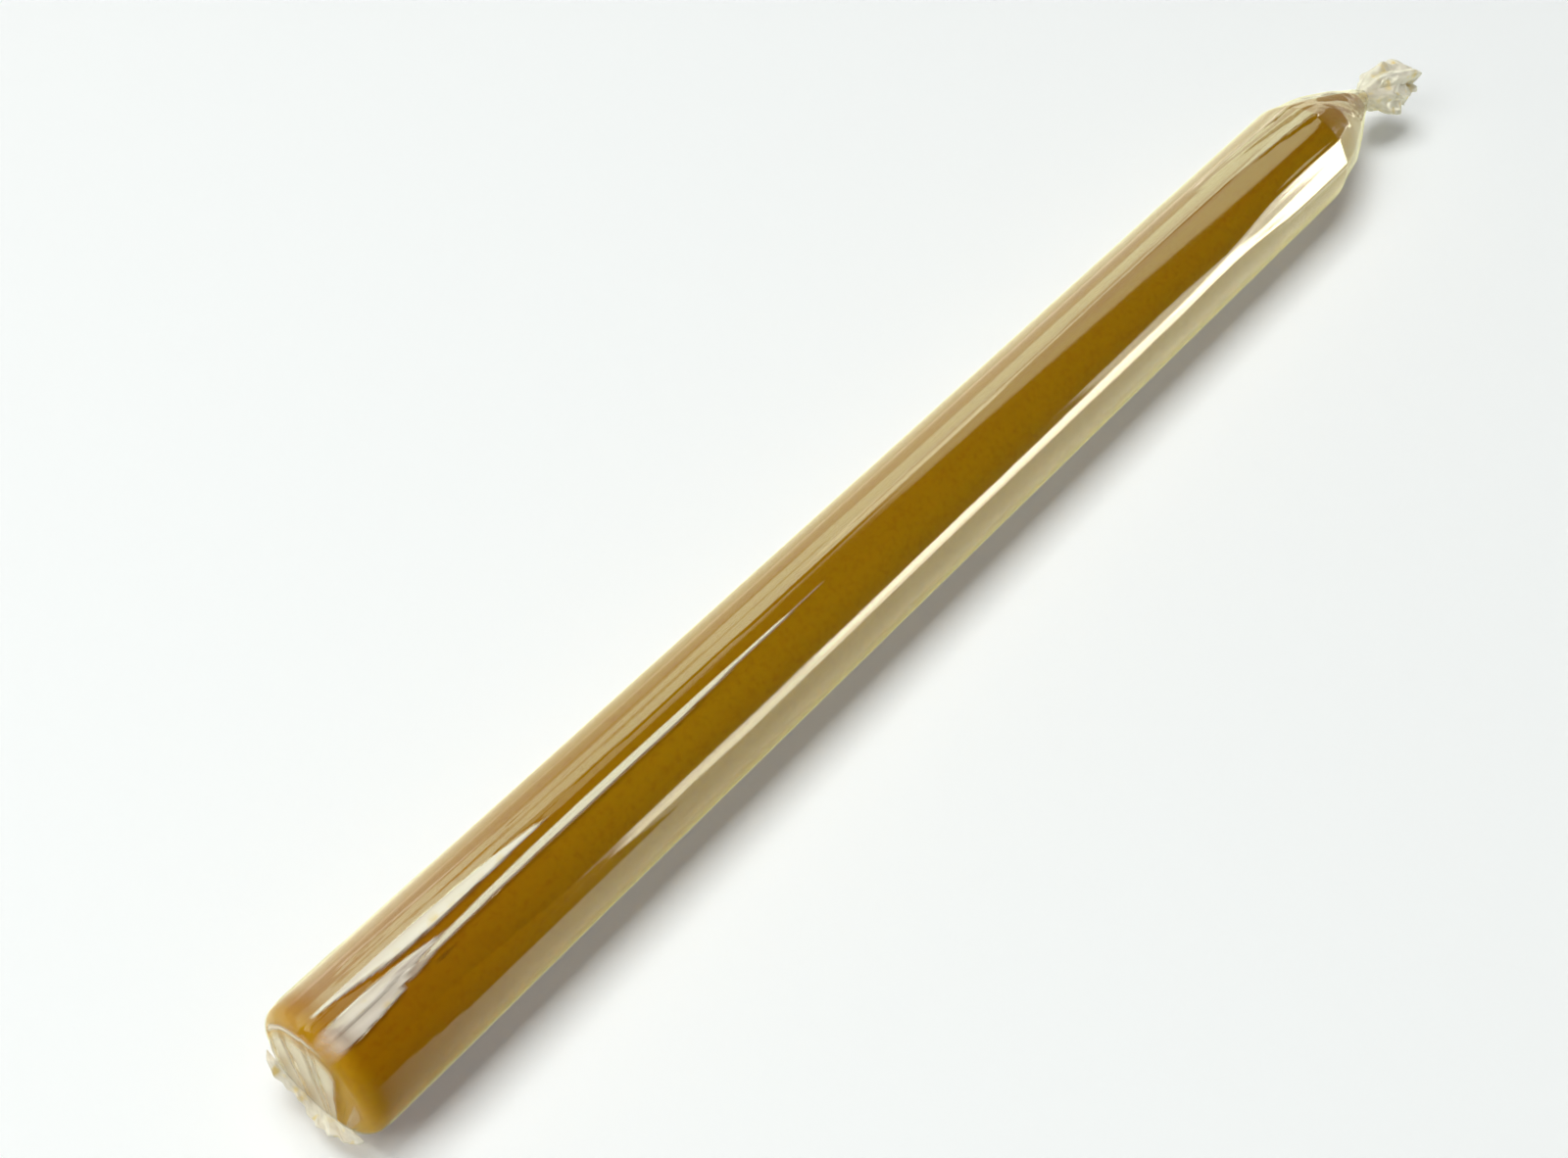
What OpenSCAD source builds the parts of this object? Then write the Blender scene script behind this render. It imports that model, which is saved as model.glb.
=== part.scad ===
// Straight-sided taper candle in one sheet of clear film, lying on its side.
// The film is folded over the base, where its doubled edge stands out as a fin,
// and it is twisted shut round the wick at the tip.
// Millimetres. +X runs from the base to the tip and +Z is up. The origin is on the
// surface that the candle lies on, under the middle of its whole length.

/* [Wax] */
// Diameter of the straight wall, which fits a common socket
candle_d = 22; // [18:0.5:26]
// Length of the candle from the base to the shoulder
wall_len = 262; // [150:1:400]
// Rounding of the base's edge
base_edge_r = 2.2; // [1:0.1:3]
// Rounding of the shoulder, where the wall turns into the tip
shoulder_r = 1.5; // [0.5:0.1:3]
// Length of the tip, from the shoulder to the end of the wax
tip_len = 23; // [16:1:34]
// Diameter at which the tip's side would end without its rounding
tip_end_d = 5.6; // [5:0.1:8]
// How far the tip's side swells out of a straight cone
tip_swell = 0.3; // [0.2:0.1:1.5]
// Rounding of the end of the wax
tip_edge_r = 1.2; // [0.6:0.1:1.6]

/* [Wick] */
// Diameter of the waxed wick
wick_d = 2.2; // [1.4:0.1:2.6]
// Clearance between the wick and its channel in the wax
wick_clear = 0.05; // [0.02:0.01:0.1]
// Length of wick that stands out of the wax, measured along the wick
wick_free = 12; // [8:1:15]
// Length of wick that stays straight above the wax
wick_straight = 0.5; // [0.2:0.1:3]
// Radius of the wick's bend
wick_bend_r = 14; // [8:1:60]
// Angle of the wick's bend
wick_bend = 15; // [5:1:30]
// Length in which the braid repeats
braid_pitch = 4; // [2:0.5:6]
// Depth of the grooves between the braid's strands
braid_depth = 0.2; // [0:0.05:0.3]
// Direction in which the wick leans, round the candle from +Y towards +Z
wick_lean = 195; // [0:5:360]

/* [Film] */
// Thickness of the film as drawn
film_t = 0.08; // [0.06:0.01:0.15]
// Clearance between the film and the wax
film_gap = 0.06; // [0.04:0.01:0.2]
// Number of narrow flats in which the film bridges the round wall
film_flats = 24; // [20:2:36]

/* [Film at the base] */
// Distance of the ends of the fold line below the candle's axis
fold_drop = 4.5; // [3:0.5:6]
// How far the middle of the fold line sags below its ends
fold_sag = 2.2; // [0:0.1:2.5]
// Slope of the fold line against the horizontal
fold_tilt = 11; // [-30:1:30]
// Angle by which the pleats sweep sideways on their way from the rim to the fold line
fold_sweep = 28; // [0:1:35]
// Angle by which the pleats draw together towards the middle of the fold line
fold_gather = 16; // [0:1:20]
// How far the doubled edge of the film stands out of the base
fin_out = 2.4; // [1:0.1:4]
// Share of that height at the fin's far end, on the side of +Y
fin_far = 0.35; // [0.3:0.05:1]
// Depth of the notches in the fin's free edge, as a share of its height
fin_ragged = 0.24; // [0:0.02:0.4]
// Half of the fin's thickness
fin_half_t = 0.2; // [0.15:0.05:0.6]
// Height of the waves along the fin's free edge
fin_wave = 0.5; // [0:0.05:0.8]
// Number of waves along the fin's free edge
fin_waves = 3; // [1:1:5]
// Number of pleats round the base
base_pleats = 9; // [5:1:12]
// Height of the pleats on the base
base_pleat = 0.6; // [0:0.05:0.8]

/* [Film at the tip] */
// Distance from the end of the wax to the tightest place of the twist
neck_out = 4; // [2.5:0.5:8]
// Room between the wick and the film in the twist
neck_room = 0.35; // [0.2:0.05:1]
// Number of pleats in the twist
twist_pleats = 7; // [4:1:9]
// Height of the pleats half way up the tip
twist_pleat = 0.9; // [0:0.1:1.2]
// Height of the pleats at the tightest place of the twist
neck_pleat = 0.14; // [0:0.02:0.3]
// Angle that the pleats turn through on their way to the twist
twist_turn = 70; // [0:5:120]
// Length of the loose end beyond the twist, measured along the wick
tuft_len = 14; // [12:1:24]
// Mean radius of the loose end where it is widest
tuft_r = 4.4; // [3.5:0.1:6]
// Depth of the loose end's ruffles, as a share of its radius
tuft_ruffle = 0.2; // [0:0.02:0.25]
// How far the ragged rim comes and goes along the wick
tuft_ragged = 1.2; // [0:0.1:2]

/* [Hidden] */

wax_color = [0.56, 0.38, 0.03];
wick_color = [0.88, 0.80, 0.56];
film_color = [0.93, 0.93, 0.86, 0.35];

wall_r = candle_d / 2;
wick_r = wick_d / 2;
channel_r = wick_r + wick_clear;
wax_end = wall_len + tip_len;
base_flat_r = wall_r - base_edge_r;

function mix(a, b, t) = a * (1 - t) + b * t;
function ease(t) = t * t * (3 - 2 * t);
function ramp(a, b, x) = ease(min(1, max(0, (x - a) / (b - a))));
// Waves of period 1: a slope from 0 to 1 that ends in a drop, and a zigzag from -1 to 1
function saw(x) = x - floor(x);
function zigzag(x) = 4 * abs(x - floor(x + 0.5)) - 1;

// Profile of the wax, as points of [radius, height above the base].
// The tip's side is a long arc over the chord from the shoulder to the end of the wax,
// and the two roundings touch it from inside.
chord = [tip_end_d / 2 - wall_r, tip_len];
chord_out = [chord[1], -chord[0]] / norm(chord);
side_r = (pow(norm(chord) / 2, 2) + pow(tip_swell, 2)) / (2 * tip_swell);
side_c = [wall_r, wall_len] + chord / 2 - (side_r - tip_swell) * chord_out;
shoulder_turn = acos((wall_r - shoulder_r - side_c[0]) / (side_r - shoulder_r));
shoulder_c = side_c + (side_r - shoulder_r) * [cos(shoulder_turn), sin(shoulder_turn)];
tip_edge_turn = asin((wax_end - tip_edge_r - side_c[1]) / (side_r - tip_edge_r));
tip_edge_c = side_c + (side_r - tip_edge_r) * [cos(tip_edge_turn), sin(tip_edge_turn)];

// Points of an arc, from one angle to another
function arc(c, r, from, to, steps) =
    [for (i = [0 : steps]) c + r * [cos(mix(from, to, i / steps)), sin(mix(from, to, i / steps))]];

wax_profile = concat(
    [[channel_r, 0]],
    arc([base_flat_r, base_edge_r], base_edge_r, -90, 0, 10),
    arc(shoulder_c, shoulder_r, 0, shoulder_turn, 4),
    arc(side_c, side_r, shoulder_turn, tip_edge_turn, 6),
    arc(tip_edge_c, tip_edge_r, tip_edge_turn, 90, 8),
    [[channel_r, wax_end]]
);

// The line of the free wick, which the film's twist and loose end follow: straight out
// of the wax, round a bend and straight on. s is the distance along it from the wax.
bend_len = wick_bend_r * wick_bend * PI / 180;
lean_dir = [0, cos(wick_lean), sin(wick_lean)];
lean_across = cross([1, 0, 0], lean_dir);
function line_angle(s) = min(wick_bend, max(0, s - wick_straight) / wick_bend_r * 180 / PI);
function line_on(s) = max(0, s - wick_straight - bend_len);
function line_point(s) =
    [wax_end + min(s, wick_straight) + wick_bend_r * sin(line_angle(s)) + line_on(s) * cos(wick_bend), 0, 0]
    + (wick_bend_r * (1 - cos(line_angle(s))) + line_on(s) * sin(wick_bend)) * lean_dir;
// Point at a radius and an angle round the line, the angle counted from +Y
function round_line(s, r, t) =
    line_point(s)
    + r * cos(t - wick_lean) * (cos(line_angle(s)) * lean_dir - [sin(line_angle(s)), 0, 0])
    + r * sin(t - wick_lean) * lean_across;

// Ring of the wick, which is round in its channel and shows its braid outside the wax
wick_sides = 24;
braid_steps = 24;
braid_start = 1;
function braid(s, t) = cos(2 * t + 360 * s / braid_pitch) * cos(2 * t - 360 * s / braid_pitch);
function wick_ring(s) =
    [for (j = [0 : wick_sides - 1])
        let (t = 360 * j / wick_sides)
        let (groove = braid_depth * ramp(0, braid_start, s) * (1 - braid(s, t)) / 2)
        round_line(s, wick_r - groove, t)];
wick_rings = concat(
    [wick_ring(-wax_end)],
    [for (i = [0 : braid_steps]) wick_ring(wick_free * i / braid_steps)]
);

// The film is a sleeve of two skins. Each function below gives a point of the outer skin
// where depth is 0, and of the inner one where depth is the film's thickness. k runs
// from 0 to 1 along that stretch of the sleeve, and t is the angle round it from +Y.
film_sides = 3 * film_flats;
fin_steps = 3;
fold_steps = 6;
rim_steps = 3;
shoulder_steps = 2;
cone_steps = 9;
tuft_steps = 10;

film_inset = film_gap + film_t;
film_r = wall_r + film_inset;
neck_r = channel_r + neck_room + film_t;
// The fold line ends inside the base's flat, and the fin inside the wall
fold_margin = 0.4;
fold_half = sqrt(pow(base_flat_r - fold_margin, 2) - pow(fold_drop, 2));
fin_half = sqrt(pow(wall_r - fold_margin, 2) - pow(fold_drop, 2));
fin_notches = 5;
fold_dir = [0, cos(fold_tilt), sin(fold_tilt)];
fold_up = [0, -sin(fold_tilt), cos(fold_tilt)];
film_start = -film_inset - fin_out;
film_end = line_point(neck_out + tuft_len)[0];

function on_circle(r, t) = r * [0, cos(t), sin(t)];
// Grows a circle to the flats, each with its middle on the circle
function flat_share(t) = 1 / cos((t + 180 / film_flats) % (360 / film_flats) - 180 / film_flats);
// Point of the flattened sleeve round the fold line, at an angle u counted from its end
function on_fold(half, thick, u) =
    half * cos(u) * fold_dir
    + (thick * sign(sin(u)) * sqrt(abs(sin(u))) - fold_drop - fold_sag * pow(sin(u), 2)) * fold_up;
function fold_angle(t) =
    t - fold_tilt + fold_sweep * sin(t - fold_tilt) + fold_gather * sin(2 * (t - fold_tilt));

// The fin, from its free edge to its root on the base
function fin_point(k, t, depth) =
    let (u = fold_angle(t))
    let (notch = 1 - fin_ragged * (1 + cos(fin_notches * u)) / 2)
    let (out = fin_out * notch * mix(1, fin_far, (1 + cos(u)) / 2))
    let (wave = (1 - k) * fin_wave * sin(180 * fin_waves * cos(u)))
    [-film_inset - mix(out, base_pleat, k) + k * depth, 0, 0]
    + on_fold(mix(fin_half, fold_half, k) - depth, fin_half_t - depth, u)
    + wave * fold_up;
// The pleated fold over the base, from the fin's root to the rounded edge
function fold_point(k, t, depth) =
    let (pleat = base_pleat * (1 - k) * (1 - k) + base_pleat * sin(180 * k) * saw(base_pleats * t / 360))
    [depth - film_inset - pleat, 0, 0]
    + mix(on_fold(fold_half - depth, fin_half_t - depth, fold_angle(t)), on_circle(base_flat_r, t), k);
// Round the base's edge, from the base to the wall
function rim_point(k, t, depth) =
    let (r = base_edge_r + film_inset - depth)
    [base_edge_r - r * cos(90 * k), 0, 0]
    + on_circle((base_flat_r + r * sin(90 * k)) * mix(1, flat_share(t), k), t);
// Round the shoulder, from the wall to the tip's side
function shoulder_point(k, t, depth) =
    let (r = shoulder_r + film_inset - depth)
    [shoulder_c[1] + r * sin(shoulder_turn * k), 0, 0]
    + on_circle((shoulder_c[0] + r * cos(shoulder_turn * k)) * flat_share(t), t);
// The gathered cone, from a small step past the shoulder over the end of the wax to the
// neck. Its pleats rise in its first part and fall to those of the neck in its last one.
cone_step = 1;
pleat_risen = 0.4;
pleat_falls = 0.5;
cone_start = shoulder_c[1] + (shoulder_r + film_inset) * sin(shoulder_turn) + cone_step;
side_end = tip_edge_c[1] + (tip_edge_r + film_inset) * sin(tip_edge_turn);
function side_at(x) = side_c[0] + sqrt(pow(side_r + film_inset, 2) - pow(x - side_c[1], 2));
function cone_r(x) =
    mix(side_at(min(x, side_end)), neck_r, ramp(side_end, wax_end + neck_out, x));
function cone_point(k, t, depth) =
    let (x = mix(cone_start, wax_end + neck_out, k))
    let (gather = (1 + cos(twist_pleats * (t - twist_turn * k))) / 2)
    let (pleat = mix(twist_pleat * ramp(0, pleat_risen, k), neck_pleat, ramp(pleat_falls, 1, k)))
    let (r = cone_r(x) * mix(flat_share(t), 1, ramp(0, pleat_risen, k)) + pleat * gather - depth)
    x < wax_end ? [x, 0, 0] + on_circle(r, t) : round_line(x - wax_end, r, t);
// The crumpled loose end, from the neck to its ragged rim. Its mean radius grows and
// shrinks with the sine of an angle that runs from 0 to tuft_close.
tuft_close = 150;
tuft_bulge = 0.8;
tuft_lobes = 3;
tuft_creases = 5;
tuft_notches = 4;
tuft_notch_at = 30;
function tuft_swell(k) = mix(neck_r, tuft_r, pow(sin(tuft_close * pow(k, tuft_bulge)), tuft_bulge));
function tuft_point(k, t, depth) =
    let (turn = t - twist_turn * (1 + k))
    let (folds = zigzag(twist_pleats * turn / 360 + k / 2) + zigzag(tuft_creases * turn / 360 + 2 * k) / 2)
    let (ruffle = tuft_ruffle * ramp(0, 0.5, k) * (folds + cos(tuft_lobes * turn) / 2))
    let (pleat = neck_pleat * (1 - k) * (1 + cos(twist_pleats * turn)) / 2)
    let (s = neck_out + tuft_len * k - tuft_ragged * k * (1 + cos(tuft_notches * t + tuft_notch_at)))
    let (p = round_line(s, tuft_swell(k) * (1 + ruffle) + pleat - depth, t))
    [min(p[0], film_end), p[1], p[2]];

function film_ring(stretch, k, depth) =
    [for (j = [0 : film_sides - 1])
        let (t = 360 * j / film_sides)
        stretch == 0 ? fin_point(k, t, depth)
        : stretch == 1 ? fold_point(k, t, depth)
        : stretch == 2 ? rim_point(k, t, depth)
        : stretch == 3 ? shoulder_point(k, t, depth)
        : stretch == 4 ? cone_point(k, t, depth)
        : tuft_point(k, t, depth)];
// All rings of one skin, from the fin's free edge to the loose end's rim
function film_skin(depth) = concat(
    [for (i = [0 : fin_steps - 1]) film_ring(0, i / fin_steps, depth)],
    [for (i = [0 : fold_steps - 1]) film_ring(1, i / fold_steps, depth)],
    [for (i = [0 : rim_steps]) film_ring(2, i / rim_steps, depth)],
    [for (i = [0 : shoulder_steps]) film_ring(3, i / shoulder_steps, depth)],
    [for (i = [0 : cone_steps - 1]) film_ring(4, i / cone_steps, depth)],
    [for (i = [0 : tuft_steps]) film_ring(5, i / tuft_steps, depth)]
);

// Solid between two skins of like rings. The skins meet at the first and the last ring.
module sleeve(outer, inner) {
    rings = len(outer);
    sides = len(outer[0]);
    function at(skin, i, j) = (skin * rings + i) * sides + j % sides;
    polyhedron(
        points = [for (skin = [outer, inner]) for (ring = skin) for (p = ring) p],
        faces = concat(
            [for (i = [0 : rings - 2]) for (j = [0 : sides - 1])
                each [[at(0, i, j), at(0, i + 1, j), at(0, i + 1, j + 1)],
                    [at(0, i, j), at(0, i + 1, j + 1), at(0, i, j + 1)],
                    [at(1, i, j), at(1, i + 1, j + 1), at(1, i + 1, j)],
                    [at(1, i, j), at(1, i, j + 1), at(1, i + 1, j + 1)]]],
            [for (j = [0 : sides - 1])
                each [[at(0, 0, j), at(0, 0, j + 1), at(1, 0, j + 1)],
                    [at(0, 0, j), at(1, 0, j + 1), at(1, 0, j)],
                    [at(0, rings - 1, j + 1), at(0, rings - 1, j), at(1, rings - 1, j)],
                    [at(0, rings - 1, j + 1), at(1, rings - 1, j), at(1, rings - 1, j + 1)]]]
        )
    );
}

// Solid rod through rings, closed by a flat face at each end
module rod(rings) {
    sides = len(rings[0]);
    function at(i, j) = i * sides + j % sides;
    polyhedron(
        points = [for (ring = rings) for (p = ring) p],
        faces = concat(
            [[for (j = [0 : sides - 1]) j], [for (j = [sides - 1 : -1 : 0]) at(len(rings) - 1, j)]],
            [for (i = [0 : len(rings) - 2]) for (j = [0 : sides - 1])
                each [[at(i, j), at(i + 1, j), at(i + 1, j + 1)], [at(i, j), at(i + 1, j + 1), at(i, j + 1)]]]
        )
    );
}

// Sets what is modelled along the candle's axis down on the surface that it lies on
module lying() {
    translate([-(film_start + film_end) / 2, 0, film_r])
        children();
}

module wax_body() {
    color(wax_color)
        lying()
        rotate([90, 0, 90])
        rotate_extrude($fn = 120)
        polygon(wax_profile);
}

module wick() {
    color(wick_color)
        lying()
        rod(wick_rings);
}

module film_wrap() {
    color(film_color)
        lying()
        sleeve(film_skin(0), film_skin(film_t));
}

wax_body();
wick();
film_wrap();
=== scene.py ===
import logging
import math
from collections.abc import Callable
from dataclasses import dataclass, field
from enum import Enum
from functools import partial

import bpy
import numpy as np
from mathutils import Matrix, Vector


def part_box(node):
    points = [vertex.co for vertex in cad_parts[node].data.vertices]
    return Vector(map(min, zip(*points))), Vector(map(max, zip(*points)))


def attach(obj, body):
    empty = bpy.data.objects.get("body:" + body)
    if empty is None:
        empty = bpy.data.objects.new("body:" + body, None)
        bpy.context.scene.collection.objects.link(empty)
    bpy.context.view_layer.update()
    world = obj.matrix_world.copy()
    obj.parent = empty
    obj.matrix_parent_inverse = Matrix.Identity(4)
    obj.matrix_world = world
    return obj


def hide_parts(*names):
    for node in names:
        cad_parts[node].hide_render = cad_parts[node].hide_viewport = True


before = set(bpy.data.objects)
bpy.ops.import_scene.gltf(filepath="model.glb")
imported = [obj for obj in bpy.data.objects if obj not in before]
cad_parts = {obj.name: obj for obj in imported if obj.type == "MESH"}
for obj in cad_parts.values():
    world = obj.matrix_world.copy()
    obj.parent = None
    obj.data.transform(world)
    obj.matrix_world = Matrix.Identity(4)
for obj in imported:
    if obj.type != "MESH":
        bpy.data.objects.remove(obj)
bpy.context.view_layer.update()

MM = 0.001
BODY = "root"
WHITE = (1.0, 1.0, 1.0, 1.0)
Array = np.ndarray
Pair = tuple[float, float]
Point = tuple[float, float, float]
log = logging.getLogger("candle")


class Stretch(Enum):
    """The stretches of the film's sleeve, from its edge at the base to its loose end."""

    FIN = "fin"
    FOLD = "fold"
    RIM = "rim"
    WALL = "wall"
    SHOULDER = "shoulder"
    CONE = "cone"
    TUFT = "tuft"


def linear(colour: str) -> tuple[float, float, float, float]:
    """Turn an sRGB hex colour to the linear colour that Blender's sockets take.

    Args:
        colour: six hex digits after a hash.

    Returns:
        Linear red, green, blue and an alpha of 1.
    """
    channels = [int(colour[i : i + 2], 16) / 255 for i in (1, 3, 5)]
    return (*((c / 12.92 if c <= 0.04045 else ((c + 0.055) / 1.055) ** 2.4) for c in channels), 1.0)


def ease(t: Array) -> Array:
    """Smooth step: 3 t squared minus 2 t cubed, with t held between 0 and 1."""
    t = np.clip(t, 0.0, 1.0)
    return t * t * (3 - 2 * t)


def ramp(low: float, high: float, x: Array) -> Array:
    """Smooth step from 0 where x is low to 1 where x is high."""
    return ease((x - low) / (high - low))


def mix(a: Array, b: Array, t: Array) -> Array:
    """Straight blend: a where t is 0, b where t is 1."""
    return a * (1 - t) + b * t


def triangle(x: Array) -> Array:
    """Triangle wave of period 1 between -1 and 1: straight flanks with sharp folds."""
    return 4 * np.abs(x - np.floor(x + 0.5)) - 1


def spread(*coordinates: Array) -> Array:
    """Points from their coordinates, each spread over the grid that they make together."""
    return np.stack(np.broadcast_arrays(*coordinates), axis=-1)


def degrees_from(start: Array, t: Array, back: float) -> Array:
    """Angle t, in radians, as degrees beyond start, counted from -back to 360 - back."""
    return (np.degrees(t) - start + back) % 360 - back


def add_node(tree: bpy.types.NodeTree, kind: str, inputs: dict | None = None,
             **settings: str) -> bpy.types.Node:
    """Add one shader node to a tree.

    Args:
        tree: the node tree.
        kind: the node's type name, without the ShaderNode that each begins with.
        inputs: its inputs by name or index: a value, an output socket to link, or a node
            whose first output in use is linked.
        settings: its properties by name.

    Returns:
        The new node.
    """
    node = tree.nodes.new("ShaderNode" + kind)
    for name, value in settings.items():
        setattr(node, name, value)
    for key, value in (inputs or {}).items():
        if isinstance(value, bpy.types.Node):
            value = next(output for output in value.outputs if output.enabled)
        if isinstance(value, bpy.types.NodeSocket):
            tree.links.new(value, node.inputs[key])
        else:
            node.inputs[key].default_value = value
    return node


def empty_tree(owner: bpy.types.ID) -> Callable[..., bpy.types.Node]:
    """Empty the node tree of a material or a world.

    Args:
        owner: the material or the world.

    Returns:
        add_node for that tree.
    """
    owner.use_nodes = True
    owner.node_tree.nodes.clear()
    return partial(add_node, owner.node_tree)


def grid_object(name: str, points: Array, closed_rows: bool, material: bpy.types.Material,
                values: dict[str, Array] | None = None) -> bpy.types.Object:
    """Make a smooth object from a grid of points whose columns run round it.

    Quad (i, j) joins point (i, j) to its neighbours (i, j + 1), (i + 1, j + 1) and (i + 1, j).
    Columns always close on themselves. Rows do too where closed_rows is true, and
    otherwise the first and the last row are each closed by one flat face.

    Args:
        name: the object's name.
        points: rows by columns by 3, in millimetres.
        closed_rows: whether the last row joins the first.
        material: the object's material.
        values: named numbers for each point, rows by columns.

    Returns:
        The object, linked to the scene.
    """
    rows, columns = points.shape[:2]
    i, j = np.meshgrid(np.arange(rows if closed_rows else rows - 1), np.arange(columns), indexing="ij")
    next_i, next_j = (i + 1) % rows, (j + 1) % columns
    faces = np.stack([i * columns + j, i * columns + next_j, next_i * columns + next_j,
                      next_i * columns + j], axis=-1).reshape(-1, 4).tolist()
    if not closed_rows:
        faces += [list(range(columns))[::-1], list(range((rows - 1) * columns, rows * columns))]
    mesh = bpy.data.meshes.new(name)
    mesh.from_pydata((points * MM).reshape(-1, 3), [], faces)
    mesh.shade_smooth()
    for key, numbers in (values or {}).items():
        mesh.attributes.new(key, "FLOAT", "POINT").data.foreach_set("value", numbers.ravel())
    mesh.materials.append(material)
    mesh.validate()
    piece = bpy.data.objects.new(name, mesh)
    bpy.context.scene.collection.objects.link(piece)
    return piece


@dataclass(frozen=True)
class Frame:
    """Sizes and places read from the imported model, in millimetres."""

    wax_low: Vector = field(default_factory=lambda: Vector(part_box("wax_body")[0]) / MM)
    wax_high: Vector = field(default_factory=lambda: Vector(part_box("wax_body")[1]) / MM)
    film_low: Vector = field(default_factory=lambda: Vector(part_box("film_wrap")[0]) / MM)
    film_high: Vector = field(default_factory=lambda: Vector(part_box("film_wrap")[1]) / MM)

    @property
    def wall_r(self) -> float:
        """Radius of the candle's straight wall."""
        return (self.wax_high.y - self.wax_low.y) / 2

    @property
    def axis_z(self) -> float:
        """Height of the candle's axis above the surface that it lies on."""
        return (self.wax_high.z + self.wax_low.z) / 2

    @property
    def wax_len(self) -> float:
        """Length of the wax."""
        return self.wax_high.x - self.wax_low.x

    def place(self, points: Array) -> Array:
        """Move points from the candle's own axis, with its base at 0, into the frame."""
        return points + np.array([self.wax_low.x, 0.0, self.axis_z])


@dataclass(frozen=True)
class WaxShape:
    """The wax's section: a straight wall, a rounded base edge, and a tip with an arc for its side.

    Lengths are in millimetres and are the part's own.
    """

    wall_r: float
    length: float
    tip_len: float = 23.0
    base_edge_r: float = 2.2
    shoulder_r: float = 1.5
    tip_end_r: float = 2.8
    tip_swell: float = 0.3
    tip_edge_r: float = 1.2
    channel_r: float = 1.15

    @property
    def side_r(self) -> float:
        """Radius of the tip's side: the arc of the given swell over the tip's chord."""
        chord = math.hypot(self.wall_r - self.tip_end_r, self.tip_len)
        return (chord * chord / 4 + self.tip_swell**2) / (2 * self.tip_swell)

    @property
    def side_c(self) -> Pair:
        """Centre of the tip's side, as radius and distance from the base."""
        dr, dx = self.wall_r - self.tip_end_r, self.tip_len
        chord = math.hypot(dr, dx)
        inset = (self.side_r - self.tip_swell) / chord
        return ((self.wall_r + self.tip_end_r) / 2 - inset * dx, self.length - dx / 2 - inset * dr)

    @property
    def shoulder_turn(self) -> float:
        """Angle through which the shoulder's rounding turns, in radians."""
        return math.acos((self.wall_r - self.shoulder_r - self.side_c[0]) / (self.side_r - self.shoulder_r))

    def touching(self, r: float, turn: float) -> Pair:
        """Centre of a rounding of radius r that touches the tip's side from inside, at the given turn."""
        reach = self.side_r - r
        return (self.side_c[0] + reach * math.cos(turn), self.side_c[1] + reach * math.sin(turn))

    @property
    def shoulder_c(self) -> Pair:
        """Centre of the shoulder's rounding."""
        return self.touching(self.shoulder_r, self.shoulder_turn)

    @property
    def tip_edge_turn(self) -> float:
        """Angle at which the tip's side passes into the rounding of its end, in radians."""
        return math.asin((self.length - self.tip_edge_r - self.side_c[1]) / (self.side_r - self.tip_edge_r))

    @property
    def tip_edge_c(self) -> Pair:
        """Centre of the rounding at the end of the wax."""
        return self.touching(self.tip_edge_r, self.tip_edge_turn)

    def side_at(self, x: Array, inset: float = 0.0) -> Array:
        """Radius of the tip's side at x, or of a skin that lies inset outside it."""
        return self.side_c[0] + np.sqrt((self.side_r + inset) ** 2 - (x - self.side_c[1]) ** 2)


def arc(centre: Pair, r: float, start: float, stop: float, steps: int) -> Array:
    """Points of an arc: the centre plus r times the cosine and sine of each angle.

    Args:
        centre: its two coordinates.
        r: the arc's radius.
        start: the first angle, in radians.
        stop: the last angle.
        steps: number of steps between them.

    Returns:
        Points, steps + 1 by 2.
    """
    angle = np.linspace(start, stop, steps + 1)
    return spread(centre[0] + r * np.cos(angle), centre[1] + r * np.sin(angle))


@dataclass(frozen=True)
class WickLine:
    """The line of the free wick: straight out of the wax, round a bend and straight on."""

    wax_end: float
    straight: float = 0.5
    bend_r: float = 14.0
    bend: float = math.radians(15)
    lean: float = math.radians(195)

    def angle(self, s: Array) -> Array:
        """Angle of the line with the candle's axis, a distance s along it from the wax."""
        return np.clip((s - self.straight) / self.bend_r, 0.0, self.bend)

    def round_it(self, s: Array, r: Array, t: Array) -> Array:
        """Points at radius r and angle t round the line.

        The centre goes straight for the first stretch, then by the sine and one minus the
        cosine of the angle turned, times the bend's radius, then straight on. The ring's
        plane is square to the line there.

        Args:
            s: distance along the line from the end of the wax.
            r: distance from the line.
            t: angle round the line, counted from +Y towards +Z, in radians.

        Returns:
            Points, with a last axis of 3.
        """
        angle = self.angle(s)
        beyond = np.maximum(0.0, s - self.straight - self.bend_r * self.bend)
        on = (self.wax_end + np.minimum(s, self.straight) + self.bend_r * np.sin(angle)
              + beyond * math.cos(self.bend))
        aside = self.bend_r * (1 - np.cos(angle)) + beyond * math.sin(self.bend)
        along = aside + r * np.cos(t - self.lean) * np.cos(angle)
        across = r * np.sin(t - self.lean)
        x = on - r * np.cos(t - self.lean) * np.sin(angle)
        y = along * math.cos(self.lean) - across * math.sin(self.lean)
        z = along * math.sin(self.lean) + across * math.cos(self.lean)
        return spread(x, y, z)


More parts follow.
